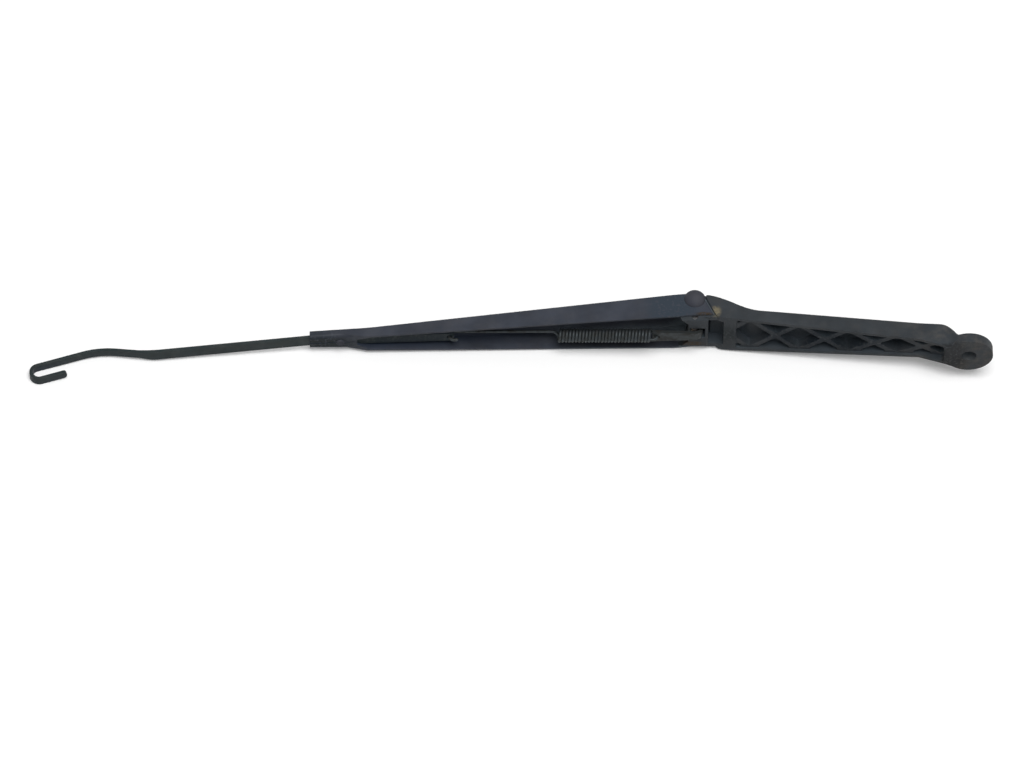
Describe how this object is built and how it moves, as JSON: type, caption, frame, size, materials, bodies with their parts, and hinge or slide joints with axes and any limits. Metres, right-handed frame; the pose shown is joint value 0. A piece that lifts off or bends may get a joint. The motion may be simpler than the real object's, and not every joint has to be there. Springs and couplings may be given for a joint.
{
  "type": "windscreen wiper arm",
  "caption": "Sprung windscreen wiper arm: cranked die-cast head with a ribbed underside and spindle boss, riveted hinge, tapered sheet channel and a flat bar ending in a blade hook.",
  "frame": {"origin": "spindle axis where it meets the underside of the boss", "axes": "+X from the blade hook towards the boss along the arm, +Y along the spindle away from the windscreen, +Z along the hinge pin; the arm lies on its side as pictured"},
  "size_m": [0.6993, 0.0675, 0.0457],
  "materials": {
    "cast_black": "satin",
    "sheet_black": "satin",
    "bar_black": "satin",
    "rivet_black": "satin",
    "bush_plastic": "matte",
    "pin_steel": "dull",
    "spring_steel": "oiled",
    "link_steel": "dull"
  },
  "bodies": {
    "head": {"head": "cast_black", "hinge_bush": "bush_plastic", "spring_pin": "pin_steel"},
    "arm": {"channel": "sheet_black", "rod": "bar_black", "hinge_rivet": "rivet_black", "rod_rivet": "rivet_black", "spring": "spring_steel"},
    "link": {"spring_link": "link_steel"}
  },
  "joints": [
    {"name": "arm_lift", "type": "hinge", "parent": "head", "child": "arm", "pos_m": [-0.199, 0.0368, 0], "axis": [0, 0, -1], "range_deg": [0, 50], "deforming": ["spring"]},
    {"name": "link_draw", "type": "slide", "parent": "arm", "child": "link", "axis": [0.9063, 0.4226, 0], "range_m": [0, 0.01142]}
  ],
  "couplings": [
    {"joint": "link_draw", "follows": "arm_lift", "m_per_rad": 0.013076}
  ]
}
